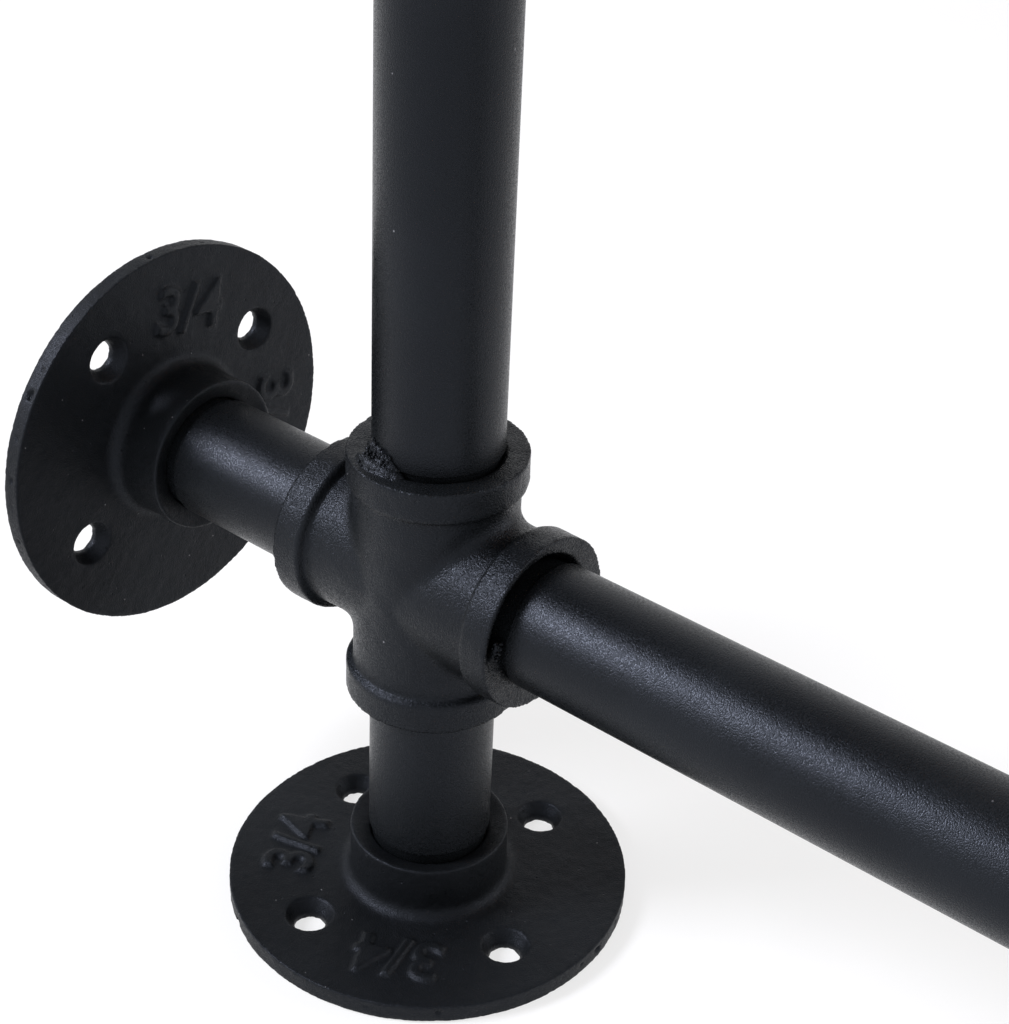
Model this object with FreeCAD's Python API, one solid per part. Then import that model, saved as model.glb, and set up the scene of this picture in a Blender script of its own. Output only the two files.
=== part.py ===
import FreeCAD, Part
import math
import os

from FreeCAD import Rotation, Vector

# Pipe shelving unit: two ladder frames of threaded pipe and cast fittings, and three boards
# strapped on top of their rails.
#
# Frame: +Z up from the floor, +Y towards the wall, +X along the boards.
# Origin: on the floor, in the middle of the unit's footprint. All sizes are in millimetres.

# ---------------------------------------------------------------- overall sizes
FRAME_SPACING = 760.0        # left frame's middle plane to the right frame's
UPRIGHT_LENGTH = 305.0       # cut length of each upright pipe
RAIL_LENGTH = 305.0          # cut length of each rail pipe
FLOOR_NIPPLE_LENGTH = 66.0   # cut length of the short pipes that stand on the floor
WALL_NIPPLE_LENGTH = 64.2    # cut length of the short pipes that meet the wall
SHELF_COUNT = 3

# ---------------------------------------------------------------- pipe and thread
PIPE_OD = 26.9
PIPE_WALL = 2.9
PIPE_END_ROUND = 0.35        # burr left round the end of the plain outside
THREAD_ENGAGEMENT = 13.6     # length screwed into a fitting
THREAD_DEPTH = 0.6           # plain outside down to the thread, at a fitting's mouth
THREAD_TAPER = 1.0 / 32.0    # loss of radius for each millimetre of thread
THREAD_CLEARANCE = 0.1       # radial, thread to socket
SHOULDER_GAP = 0.9           # plain outside stops this far from a fitting's mouth

# ---------------------------------------------------------------- cast fittings
BODY_WALL = 4.1              # casting outside the thread
BRANCH_STEP = 0.4            # a branch is this much slimmer than the run it leaves
BEAD_RAISE = 1.5             # bead round each mouth, above the body
BEAD_WIDTH = 6.6
BEAD_SHOULDER = 0.9          # length of the slope from the body up to the bead
BEAD_LIP_ROUND = 0.8
MOUTH_CHAMFER = 1.1
CROTCH_FILLET = 4.0
TIP_CLEARANCE = 2.8          # between the tips of two pipes that meet at a right angle
SOCKET_RUNOUT = 1.5          # socket left below a pipe's tip
CAVITY_WALL = 0.9            # ledge between a socket's end and the open middle
ELBOW_THROAT = 3.0           # inside of an elbow's bend, beyond the body's radius

# ---------------------------------------------------------------- flanges
FLANGE_OD = 90.0
FLANGE_THICKNESS = 4.6
FLANGE_RIM_ROUND = 1.3
FLANGE_FOOT_ROUND = 0.5
HUB_WALL = 4.9               # hub outside the thread
HUB_HEIGHT = 17.5            # back face to the hub's mouth
HUB_FILLET = 2.8
HUB_LIP = 0.9                # flat top of the rim round the hub's mouth
HUB_LIP_ROUND = 0.4
HUB_DISH = 1.4               # the mouth is dished by this much inside its rim
BOLT_CIRCLE = 61.8
BOLT_COUNT = 4
BOLT_HOLE = 6.4
BOLT_SINK = 10.4             # width of the countersink at the flange's face
BOLT_SINK_DEPTH = 3.0
FLOOR_FLANGE_TURN = -15.5    # degrees that the thread stopped at, holes against +X
WALL_FLANGE_TURN = 34.0

# ---------------------------------------------------------------- boards and their fastenings
BOARD_THICKNESS = 25.0
BOARD_OVERHANG = 70.0        # past the middle of each frame
BOARD_EDGE_ROUND = 2.0
BOARD_SIDE_GAP = 6.0         # between a board's long edge and the fittings' mouths
SEAT_GAP = 0.2               # board above the pipe it rests on
STRAP_THICKNESS = 1.6
STRAP_WIDTH = 19.0
STRAP_GRIP_GAP = 0.15        # strap round the pipe
STRAP_EAR = 17.0             # length of each flat ear
STRAP_BEND_ROUND = 1.2
STRAP_INSET = 42.0           # strap's middle in from a board's long edge
STRAP_HOLE = 4.8
SCREW_SHANK = 4.0
SCREW_LENGTH = 18.0          # under the head
SCREW_TIP = 5.0
SCREW_HEAD = 8.4
SCREW_HEAD_HEIGHT = 2.5
SCREW_HEAD_ROUND = 1.4
SCREW_SLOT_WIDTH = 1.0
SCREW_SLOT_LENGTH = 4.6
SCREW_SLOT_DEPTH = 1.3
PILOT_CLEARANCE = 0.05       # radial, screw to board

# ---------------------------------------------------------------- sizes worked out from those
PIPE_RADIUS = PIPE_OD / 2
THREAD_MOUTH_RADIUS = PIPE_RADIUS - THREAD_DEPTH
THREAD_TIP_RADIUS = THREAD_MOUTH_RADIUS - THREAD_TAPER * THREAD_ENGAGEMENT
SOCKET_DEPTH = THREAD_ENGAGEMENT + SOCKET_RUNOUT
SOCKET_MOUTH_RADIUS = THREAD_MOUTH_RADIUS + THREAD_CLEARANCE
SOCKET_END_RADIUS = SOCKET_MOUTH_RADIUS - THREAD_TAPER * SOCKET_DEPTH
CAVITY_RADIUS = SOCKET_END_RADIUS - CAVITY_WALL

BODY_RADIUS = THREAD_MOUTH_RADIUS + BODY_WALL
BRANCH_RADIUS = BODY_RADIUS - BRANCH_STEP
BEAD_RADIUS = BODY_RADIUS + BEAD_RAISE
CENTRE_TO_END = THREAD_TIP_RADIUS + TIP_CLEARANCE + THREAD_ENGAGEMENT
ELBOW_BEND = BODY_RADIUS + ELBOW_THROAT
HUB_RADIUS = THREAD_MOUTH_RADIUS + HUB_WALL
FLANGE_RADIUS = FLANGE_OD / 2

FITTING_AND_HUB = CENTRE_TO_END - 2 * THREAD_ENGAGEMENT + HUB_HEIGHT
BOTTOM_Z = FITTING_AND_HUB + FLOOR_NIPPLE_LENGTH
WALL_STANDOFF = FITTING_AND_HUB + WALL_NIPPLE_LENGTH
LEVEL_PITCH = 2 * CENTRE_TO_END + UPRIGHT_LENGTH - 2 * THREAD_ENGAGEMENT
FRAME_DEPTH = 2 * CENTRE_TO_END + RAIL_LENGTH - 2 * THREAD_ENGAGEMENT

FOOTPRINT_DEPTH = FLANGE_RADIUS + FRAME_DEPTH + WALL_STANDOFF
REAR_Y = FOOTPRINT_DEPTH / 2 - WALL_STANDOFF
FRONT_Y = REAR_Y - FRAME_DEPTH
MIDDLE_Y = (REAR_Y + FRONT_Y) / 2
LEVEL_Z = [BOTTOM_Z + level * LEVEL_PITCH for level in range(SHELF_COUNT + 1)]

BOARD_LENGTH = FRAME_SPACING + 2 * BOARD_OVERHANG
BOARD_DEPTH = FRAME_DEPTH - 2 * CENTRE_TO_END - 2 * BOARD_SIDE_GAP
BOARD_SEAT = PIPE_RADIUS + SEAT_GAP          # a rail's axis to the underside of its board
STRAP_INSIDE = PIPE_RADIUS + STRAP_GRIP_GAP
STRAP_OUTSIDE = STRAP_INSIDE + STRAP_THICKNESS
SCREW_OFFSET = STRAP_OUTSIDE + STRAP_EAR / 2  # screw's axis from the rail's axis

UP = Vector(0, 0, 1)
DOWN = Vector(0, 0, -1)
TO_WALL = Vector(0, 1, 0)
TO_FRONT = Vector(0, -1, 0)
ACROSS = Vector(1, 0, 0)


# ---------------------------------------------------------------- drawing helpers
def outline(corners, to_space):
    """Closed wire through flat corners (a, b) or (a, b, radius); a radius rounds its corner."""
    count = len(corners)
    runs = []
    for index in range(count):
        corner = Vector(corners[index][0], corners[index][1], 0)
        radius = corners[index][2] if len(corners[index]) == 3 else 0
        if radius == 0:
            runs.append((corner, None, corner))
            continue
        before = Vector(*corners[index - 1][:2], 0)
        after = Vector(*corners[(index + 1) % count][:2], 0)
        back = (before - corner).normalize()
        ahead = (after - corner).normalize()
        half_angle = back.getAngle(ahead) / 2
        start = corner + back * (radius / math.tan(half_angle))
        end = corner + ahead * (radius / math.tan(half_angle))
        inward = (back + ahead).normalize()
        middle = corner + inward * (radius / math.sin(half_angle) - radius)
        runs.append((start, middle, end))
    edges = []
    for index in range(count):
        start, middle, end = runs[index]
        if middle is not None:
            edges.append(Part.Arc(to_space(start), to_space(middle), to_space(end)).toShape())
        following = runs[(index + 1) % count][0]
        if (following - end).Length > 1e-6:
            edges.append(Part.makeLine(to_space(end), to_space(following)))
    return Part.Wire(edges)


def turned(corners):
    """Solid turned about Z from a half section of (radius, height) corners."""
    section = Part.Face(outline(corners, lambda p: Vector(p.x, 0, p.y)))
    return section.revolve(Vector(), UP, 360)


def drawn_along_y(corners, length):
    """Solid with an (x, z) section, drawn along Y and centred on it."""
    section = Part.Face(outline(corners, lambda p: Vector(p.x, -length / 2, p.y)))
    return section.extrude(Vector(0, length, 0))


def placed(shape, position, direction=UP, turn=0.0):
    """Copy of a shape: turned about its Z, its Z laid along a direction, and moved."""
    copy = shape.copy()
    copy.rotate(Vector(), UP, turn)
    lay = Rotation(UP, direction)
    copy.rotate(Vector(), lay.Axis, math.degrees(lay.Angle))
    copy.translate(position)
    return copy


# ---------------------------------------------------------------- pipes
def pipe(length):
    """Pipe on Z from 0 to its length: a taper thread at each end and a plain outside between."""
    bore = PIPE_RADIUS - PIPE_WALL
    plain_start = THREAD_ENGAGEMENT + SHOULDER_GAP
    thread_top = THREAD_MOUTH_RADIUS + THREAD_TAPER * SHOULDER_GAP
    return turned([
        (bore, 0),
        (THREAD_TIP_RADIUS, 0),
        (thread_top, plain_start),
        (PIPE_RADIUS, plain_start, PIPE_END_ROUND),
        (PIPE_RADIUS, length - plain_start, PIPE_END_ROUND),
        (thread_top, length - plain_start),
        (THREAD_TIP_RADIUS, length),
        (bore, length),
    ])


# ---------------------------------------------------------------- cast fittings
def socket(mouth_chamfer):
    """Cutter for a threaded socket whose mouth is at height 0 and which goes down."""
    past = BEAD_LIP_ROUND
    return turned([
        (0, past),
        (SOCKET_MOUTH_RADIUS + mouth_chamfer, past),
        (SOCKET_MOUTH_RADIUS + mouth_chamfer, 0),
        (SOCKET_MOUTH_RADIUS, -mouth_chamfer),
        (SOCKET_END_RADIUS, -SOCKET_DEPTH),
        (0, -SOCKET_DEPTH),
    ])


def bead():
    """Raised bead round a mouth on Z at the centre-to-end distance, as a solid disc."""
    inner_end = CENTRE_TO_END - BEAD_WIDTH
    return turned([
        (0, inner_end - BEAD_SHOULDER),
        (BRANCH_RADIUS - BRANCH_STEP, inner_end - BEAD_SHOULDER),
        (BEAD_RADIUS, inner_end, BEAD_SHOULDER),
        (BEAD_RADIUS, CENTRE_TO_END, BEAD_LIP_ROUND),
        (0, CENTRE_TO_END),
    ])


def tube(radius, reach, direction):
    """Solid round bar from the fitting's centre along a direction."""
    return Part.makeCylinder(radius, reach, Vector(), direction)


def crotch_edges(body):
    """Edges where a branch leaves the run: the ones that are neither straight nor round."""
    plain = (Part.Line, Part.Circle)
    return [edge for edge in body.Edges if not isinstance(edge.Curve, plain)]


def finished_casting(body, ports, cavity):
    """Add the beads to a body and cut its sockets and open middle."""
    for port in ports:
        body = body.fuse(placed(bead(), Vector(), port))
    for port in ports:
        mouth = Vector(port) * CENTRE_TO_END
        body = body.cut(placed(socket(MOUTH_CHAMFER), mouth, port))
    return body.cut(cavity).removeSplitter()


def run_fitting(run, branches):
    """Tee or cross: a straight run along one direction, with branches at right angles to it."""
    against_run = Vector(run) * -1
    ports = [run, against_run] + branches
    reach = CENTRE_TO_END - BEAD_LIP_ROUND
    body = tube(BODY_RADIUS, reach, run).fuse(tube(BODY_RADIUS, reach, against_run))
    body = body.removeSplitter()
    for branch in branches:
        body = body.fuse(tube(BRANCH_RADIUS, reach, branch))
    body = body.makeFillet(CROTCH_FILLET, crotch_edges(body))
    cavity = tube(CAVITY_RADIUS, reach, run)
    for port in ports[1:]:
        cavity = cavity.fuse(tube(CAVITY_RADIUS, reach, port))
    return finished_casting(body, ports, cavity)


def bend(radius, first, second):
    """Round bar that turns from one port direction to another on the elbow's bend."""
    centre = (first + second) * ELBOW_BEND
    start = first * ELBOW_BEND
    disc = Part.Face(Part.Wire(Part.Circle(start, first, radius).toShape()))
    bar = disc.revolve(centre, second.cross(first), 90)
    for port in (first, second):
        straight = Part.makeCylinder(radius, CENTRE_TO_END - BEAD_LIP_ROUND - ELBOW_BEND,
                                     port * ELBOW_BEND, port)
        bar = bar.fuse(straight)
    return bar


def elbow(first, second):
    """Right-angle elbow between two port directions."""
    body = bend(BODY_RADIUS, first, second)
    return finished_casting(body, [first, second], bend(CAVITY_RADIUS, first, second))


def flange():
    """Round flange with its back face at height 0 and its hub on +Z."""
    lip_inside = HUB_RADIUS - HUB_LIP
    body = turned([
        (0, 0),
        (FLANGE_RADIUS, 0, FLANGE_FOOT_ROUND),
        (FLANGE_RADIUS, FLANGE_THICKNESS, FLANGE_RIM_ROUND),
        (HUB_RADIUS, FLANGE_THICKNESS, HUB_FILLET),
        (HUB_RADIUS, HUB_HEIGHT, HUB_LIP_ROUND),
        (lip_inside, HUB_HEIGHT),
        (SOCKET_MOUTH_RADIUS, HUB_HEIGHT - HUB_DISH),
        (0, HUB_HEIGHT - HUB_DISH),
    ])
    body = body.cut(placed(socket(0), Vector(0, 0, HUB_HEIGHT)))
    body = body.cut(Part.makeCylinder(CAVITY_RADIUS, HUB_HEIGHT))
    sink_floor = FLANGE_THICKNESS - BOLT_SINK_DEPTH
    for index in range(BOLT_COUNT):
        angle = math.radians(index * 360.0 / BOLT_COUNT)
        centre = Vector(math.cos(angle), math.sin(angle), 0) * (BOLT_CIRCLE / 2)
        sink_foot = centre + UP * sink_floor
        body = body.cut(Part.makeCylinder(BOLT_HOLE / 2, FLANGE_THICKNESS, centre))
        body = body.cut(Part.makeCone(BOLT_HOLE / 2, BOLT_SINK / 2, BOLT_SINK_DEPTH, sink_foot))
    return body


# ---------------------------------------------------------------- boards and fastenings
def strap():
    """Two-hole pipe strap round a rail on Y at height 0, with its ears up under the board."""
    ear_end = STRAP_OUTSIDE + STRAP_EAR
    ear_under = BOARD_SEAT - STRAP_THICKNESS
    bend_outside = STRAP_BEND_ROUND + STRAP_THICKNESS
    body = drawn_along_y([
        (-ear_end, BOARD_SEAT),
        (-STRAP_INSIDE, BOARD_SEAT, bend_outside),
        (-STRAP_INSIDE, -STRAP_INSIDE, STRAP_INSIDE),
        (STRAP_INSIDE, -STRAP_INSIDE, STRAP_INSIDE),
        (STRAP_INSIDE, BOARD_SEAT, bend_outside),
        (ear_end, BOARD_SEAT),
        (ear_end, ear_under),
        (STRAP_OUTSIDE, ear_under, STRAP_BEND_ROUND),
        (STRAP_OUTSIDE, -STRAP_OUTSIDE, STRAP_OUTSIDE),
        (-STRAP_OUTSIDE, -STRAP_OUTSIDE, STRAP_OUTSIDE),
        (-STRAP_OUTSIDE, ear_under, STRAP_BEND_ROUND),
        (-ear_end, ear_under),
    ], STRAP_WIDTH)
    for side in (-1, 1):
        foot = Vector(side * SCREW_OFFSET, 0, ear_under)
        body = body.cut(Part.makeCylinder(STRAP_HOLE / 2, STRAP_THICKNESS, foot))
    return body


def screw():
    """Wood screw pointing up, with the underside of its head at height 0."""
    body = turned([
        (0, -SCREW_HEAD_HEIGHT),
        (SCREW_HEAD / 2, -SCREW_HEAD_HEIGHT, SCREW_HEAD_ROUND),
        (SCREW_HEAD / 2, 0),
        (SCREW_SHANK / 2, 0),
        (SCREW_SHANK / 2, SCREW_LENGTH - SCREW_TIP),
        (0, SCREW_LENGTH),
    ])
    for turn in (0, 90):
        slot = Part.makeBox(SCREW_SLOT_LENGTH, SCREW_SLOT_WIDTH, SCREW_SLOT_DEPTH,
                            Vector(-SCREW_SLOT_LENGTH / 2, -SCREW_SLOT_WIDTH / 2,
                                   -SCREW_HEAD_HEIGHT))
        slot.rotate(Vector(), UP, turn)
        body = body.cut(slot)
    return body


def strap_places(rail_z):
    """Middle of each strap on both frames' rails at one height."""
    reach = BOARD_DEPTH / 2 - STRAP_INSET
    return [Vector(side * FRAME_SPACING / 2, MIDDLE_Y + way * reach, rail_z)
            for side in (-1, 1) for way in (-1, 1)]


def screw_places(rail_z):
    """Underside of each strap's ears on both frames' rails, where the screw heads seat."""
    lift = UP * (BOARD_SEAT - STRAP_THICKNESS)
    return [middle + lift + ACROSS * (side * SCREW_OFFSET)
            for middle in strap_places(rail_z) for side in (-1, 1)]


def board(rail_z):
    """Shelf board on both frames' rails at one height, drilled for its screws."""
    underside = rail_z + BOARD_SEAT
    corner = Vector(-BOARD_LENGTH / 2, MIDDLE_Y - BOARD_DEPTH / 2, underside)
    body = Part.makeBox(BOARD_LENGTH, BOARD_DEPTH, BOARD_THICKNESS, corner)
    body = body.makeFillet(BOARD_EDGE_ROUND, body.Edges)
    drill_radius = SCREW_SHANK / 2 + PILOT_CLEARANCE
    drill_depth = SCREW_LENGTH - STRAP_THICKNESS
    for place in screw_places(rail_z):
        foot = Vector(place.x, place.y, underside)
        body = body.cut(Part.makeCylinder(drill_radius, drill_depth, foot))
    return body


# ---------------------------------------------------------------- assembly
def side_frame(side, frame_x):
    """Every piece of one ladder frame, by name. The side is -1 for left and +1 for right."""
    name = "left" if side < 0 else "right"
    foot_of_thread = CENTRE_TO_END - THREAD_ENGAGEMENT
    threaded_flange = flange()
    floor_nipple = pipe(FLOOR_NIPPLE_LENGTH)
    wall_nipple = pipe(WALL_NIPPLE_LENGTH)
    upright = pipe(UPRIGHT_LENGTH)
    rail = pipe(RAIL_LENGTH)
    pieces = {}

    for row, row_y in (("rear", REAR_Y), ("front", FRONT_Y)):
        hub = Vector(frame_x, row_y, 0)
        bottom = Vector(frame_x, row_y, BOTTOM_Z)
        turn = FLOOR_FLANGE_TURN * -side
        pieces[f"{name}_{row}_floor_flange"] = placed(threaded_flange, hub, UP, turn)
        nipple_top = bottom + DOWN * foot_of_thread
        pieces[f"{name}_{row}_floor_nipple"] = placed(floor_nipple, nipple_top, DOWN)
        for level in range(SHELF_COUNT):
            start = Vector(frame_x, row_y, LEVEL_Z[level] + foot_of_thread)
            pieces[f"{name}_{row}_upright_{level + 1}"] = placed(upright, start, UP)

    inner_tees = {"rear": run_fitting(UP, [TO_FRONT]), "front": run_fitting(UP, [TO_WALL])}
    for row, row_y in (("rear", REAR_Y), ("front", FRONT_Y)):
        for level in range(1, SHELF_COUNT):
            centre = Vector(frame_x, row_y, LEVEL_Z[level])
            pieces[f"{name}_{row}_tee_{level}"] = placed(inner_tees[row], centre)

    bottom_rear = Vector(frame_x, REAR_Y, BOTTOM_Z)
    bottom_front = Vector(frame_x, FRONT_Y, BOTTOM_Z)
    top_rear = Vector(frame_x, REAR_Y, LEVEL_Z[-1])
    top_front = Vector(frame_x, FRONT_Y, LEVEL_Z[-1])
    pieces[f"{name}_bottom_cross"] = placed(run_fitting(UP, [TO_WALL, TO_FRONT]), bottom_rear)
    pieces[f"{name}_bottom_front_tee"] = placed(inner_tees["front"], bottom_front)
    pieces[f"{name}_top_rear_tee"] = placed(run_fitting(TO_WALL, [DOWN]), top_rear)
    pieces[f"{name}_top_front_elbow"] = placed(elbow(DOWN, TO_WALL), top_front)

    for height, centre in (("lower", bottom_rear), ("upper", top_rear)):
        nipple_start = centre + TO_WALL * foot_of_thread
        pieces[f"{name}_{height}_wall_nipple"] = placed(wall_nipple, nipple_start, TO_WALL)
        hub = centre + TO_WALL * WALL_STANDOFF
        turn = WALL_FLANGE_TURN * -side
        pieces[f"{name}_{height}_wall_flange"] = placed(threaded_flange, hub, TO_FRONT, turn)

    for level, rail_z in enumerate(LEVEL_Z):
        rail_name = f"{name}_shelf_rail_{level}" if level else f"{name}_bottom_rail"
        start = Vector(frame_x, FRONT_Y + foot_of_thread, rail_z)
        pieces[rail_name] = placed(rail, start, TO_WALL)
    return pieces


def shelving_unit():
    """Every piece of the unit, by name."""
    pieces = {}
    for side in (-1, 1):
        pieces.update(side_frame(side, side * FRAME_SPACING / 2))
    straps = []
    screws = []
    for level, rail_z in enumerate(LEVEL_Z[1:], start=1):
        pieces[f"shelf_board_{level}"] = board(rail_z)
        straps += [placed(strap(), middle) for middle in strap_places(rail_z)]
        screws += [placed(screw(), seat) for seat in screw_places(rail_z)]
    pieces["pipe_straps"] = Part.makeCompound(straps)
    pieces["strap_screws"] = Part.makeCompound(screws)
    return pieces


os.makedirs("parts", exist_ok=True)
for node, shape in shelving_unit().items():
    shape.exportStep(f"parts/{node}.step")
    print(node, len(shape.Solids), shape.isValid())
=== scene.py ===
import contextlib
import logging
import math
import random
from dataclasses import dataclass, field
from enum import Enum
from typing import Iterator

import bpy
from mathutils import Matrix, Vector


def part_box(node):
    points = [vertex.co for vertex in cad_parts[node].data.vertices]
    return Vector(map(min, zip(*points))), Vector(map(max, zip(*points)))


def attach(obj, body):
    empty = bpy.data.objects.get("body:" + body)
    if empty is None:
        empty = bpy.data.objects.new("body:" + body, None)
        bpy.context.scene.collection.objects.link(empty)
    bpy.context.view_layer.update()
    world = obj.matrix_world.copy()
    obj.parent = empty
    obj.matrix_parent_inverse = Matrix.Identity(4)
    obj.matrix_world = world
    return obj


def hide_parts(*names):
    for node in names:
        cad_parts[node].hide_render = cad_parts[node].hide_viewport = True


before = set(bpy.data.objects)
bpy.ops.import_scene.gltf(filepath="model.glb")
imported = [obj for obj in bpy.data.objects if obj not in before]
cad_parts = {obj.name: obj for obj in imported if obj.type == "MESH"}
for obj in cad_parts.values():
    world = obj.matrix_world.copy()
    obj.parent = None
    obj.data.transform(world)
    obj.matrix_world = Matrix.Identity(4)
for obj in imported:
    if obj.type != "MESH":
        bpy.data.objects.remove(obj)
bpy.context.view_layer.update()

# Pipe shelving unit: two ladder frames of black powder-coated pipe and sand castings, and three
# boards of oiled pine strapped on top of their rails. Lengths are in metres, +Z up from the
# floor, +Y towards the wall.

log = logging.getLogger("shelving")

Piece, Material = bpy.types.Object, bpy.types.Material
Node, Socket = bpy.types.Node, bpy.types.NodeSocket
Pair = tuple[float, float]
Rgb = tuple[float, float, float]
Triple = tuple[float, float, float]
MM = 0.001
BODY = "root"
UP, DOWN, TO_WALL, TO_FRONT = (0, 0, 1), (0, 0, -1), (0, 1, 0), (0, -1, 0)
GOLDEN_SHARE = 0.618034  # steps of this share or angle spread evenly and never repeat
GOLDEN_ANGLE = 2.399963
PIT_SIZE_STEP = 0.37


# -------- shader graphs
class Field:
    """A number that changes over a surface: a shader socket that takes arithmetic."""

    def __init__(self, graph: "Graph", socket: Socket) -> None:
        """Wrap one output socket of a graph."""
        self.graph = graph
        self.socket = socket

    def math(self, operation: str, *operands: "Value") -> "Field":
        """The result of one Math node, fed in the order of its sockets."""
        node = self.graph.node("ShaderNodeMath", {"operation": operation}, dict(enumerate(operands)))
        return Field(self.graph, node.outputs[0])

    def __add__(self, other: "Value") -> "Field":
        """Sum."""
        return self.math("ADD", self, other)

    __radd__ = __add__

    def __sub__(self, other: "Value") -> "Field":
        """Difference."""
        return self.math("SUBTRACT", self, other)

    def __rsub__(self, other: "Value") -> "Field":
        """Difference from a plain number."""
        return self.math("SUBTRACT", other, self)

    def __mul__(self, other: "Value") -> "Field":
        """Product."""
        return self.math("MULTIPLY", self, other)

    __rmul__ = __mul__

    def __truediv__(self, other: "Value") -> "Field":
        """Quotient."""
        return self.math("DIVIDE", self, other)

    def root(self) -> "Field":
        """Square root."""
        return self.math("SQRT", self)

    def fraction(self) -> "Field":
        """What is left over the whole number below."""
        return self.math("FRACT", self)

    def at_least(self, other: "Value") -> "Field":
        """The larger of the two."""
        return self.math("MAXIMUM", self, other)

    def rise(self, low: float, high: float) -> "Field":
        """Smooth step.

        Args:
            low: where the step starts, at 0.
            high: where it ends, at 1.

        Returns:
            A number from 0 to 1. With low above high the step falls instead.
        """
        first, last, start, end = (low, high, 0.0, 1.0) if low < high else (high, low, 1.0, 0.0)
        node = self.graph.node(
            "ShaderNodeMapRange",
            {"interpolation_type": "SMOOTHSTEP"},
            {0: self, 1: first, 2: last, 3: start, 4: end},
        )
        return Field(self.graph, node.outputs[0])


Value = Field | float


class Graph:
    """A node tree that is being built."""

    def __init__(self, tree: bpy.types.NodeTree) -> None:
        """Start on an emptied tree."""
        self.tree = tree
        tree.nodes.clear()

    def node(
        self,
        kind: str,
        settings: dict[str, object] | None = None,
        sockets: dict[int | str, object] | None = None,
    ) -> Node:
        """Add one node: its settings first, then its sockets.

        Args:
            kind: the node's type.
            settings: its properties, by name.
            sockets: a value, a Field or an output socket for each input, by name or number.

        Returns:
            The new node.
        """
        node = self.tree.nodes.new(kind)
        for name, value in (settings or {}).items():
            setattr(node, name, value)
        for name, value in (sockets or {}).items():
            source = value.socket if isinstance(value, Field) else value
            if isinstance(source, Socket):
                self.tree.links.new(source, node.inputs[name])
            else:
                node.inputs[name].default_value = source
        return node

    def places(self, shift: Triple = (0, 0, 0), scale: Triple = (1, 1, 1)) -> Socket:
        """Object coordinates, in metres.

        Args:
            shift: moves the pattern.
            scale: stretches it, axis by axis.

        Returns:
            A vector socket.
        """
        source = self.node("ShaderNodeTexCoord").outputs["Object"]
        mapping = self.node(
            "ShaderNodeMapping", {}, {"Vector": source, "Location": shift, "Scale": scale}
        )
        return mapping.outputs[0]

    def parts(self, vector: Socket) -> tuple[Field, ...]:
        """The x, y and z of a vector socket."""
        node = self.node("ShaderNodeSeparateXYZ", {}, {0: vector})
        return tuple(Field(self, output) for output in node.outputs)

    def noise(
        self, vector: Socket, width: float, detail: float = 2.0, rough: float = 0.5
    ) -> Field:
        """Soft noise.

        Args:
            vector: where it is read.
            width: size of its features, in the vector's own unit.
            detail: finer layers that are added.
            rough: how strongly each finer layer counts.

        Returns:
            A number around 0.5.
        """
        node = self.node(
            "ShaderNodeTexNoise",
            {},
            {"Vector": vector, "Scale": 1 / width, "Detail": detail, "Roughness": rough},
        )
        return Field(self, node.outputs[0])

    def cells(self, vector: Socket, width: float) -> Field:
        """Distance to the nearest of scattered points, in widths."""
        node = self.node("ShaderNodeTexVoronoi", {}, {"Vector": vector, "Scale": 1 / width})
        return Field(self, node.outputs["Distance"])

    def mix(self, factor: Value, first: object, second: object) -> Socket:
        """Mix two colours.

        Args:
            factor: 0 gives the first, 1 the second.
            first: a colour or a colour socket.
            second: another.

        Returns:
            A colour socket.
        """
        colours = [(*c, 1.0) if isinstance(c, tuple) else c for c in (first, second)]
        node = self.node(
            "ShaderNodeMix",
            {"data_type": "RGBA", "clamp_factor": True},
            {0: factor, 6: colours[0], 7: colours[1]},
        )
        return node.outputs[2]

    def bump(self, height: Field, depth: float) -> Socket:
        """A normal for a relief; the depth is its metres for a height of 1."""
        node = self.node("ShaderNodeBump", {}, {"Height": height, "Distance": depth, "Strength": 1.0})
        return node.outputs[0]

    def blend(self, factor: Field, first: Node, second: Node) -> Node:
        """Mix two shaders: a factor of 0 gives the first, 1 the second."""
        shaders = {0: factor, 1: first.outputs[0], 2: second.outputs[0]}
        return self.node("ShaderNodeMixShader", {}, shaders)

    def surface(self, sockets: dict[int | str, object]) -> None:
        """Close the graph with one Principled shader."""
        shader = self.node("ShaderNodeBsdfPrincipled", {}, sockets)
        self.node("ShaderNodeOutputMaterial", {}, {"Surface": shader.outputs[0]})


# -------- finishes
def blank(name: str) -> tuple[Material, Graph]:
    """A new material and its graph.

    Args:
        name: what the material is called.

    Returns:
        Both, the graph empty.
    """
    material = bpy.data.materials.new(name)
    material.use_nodes = True
    return material, Graph(material.node_tree)


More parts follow.
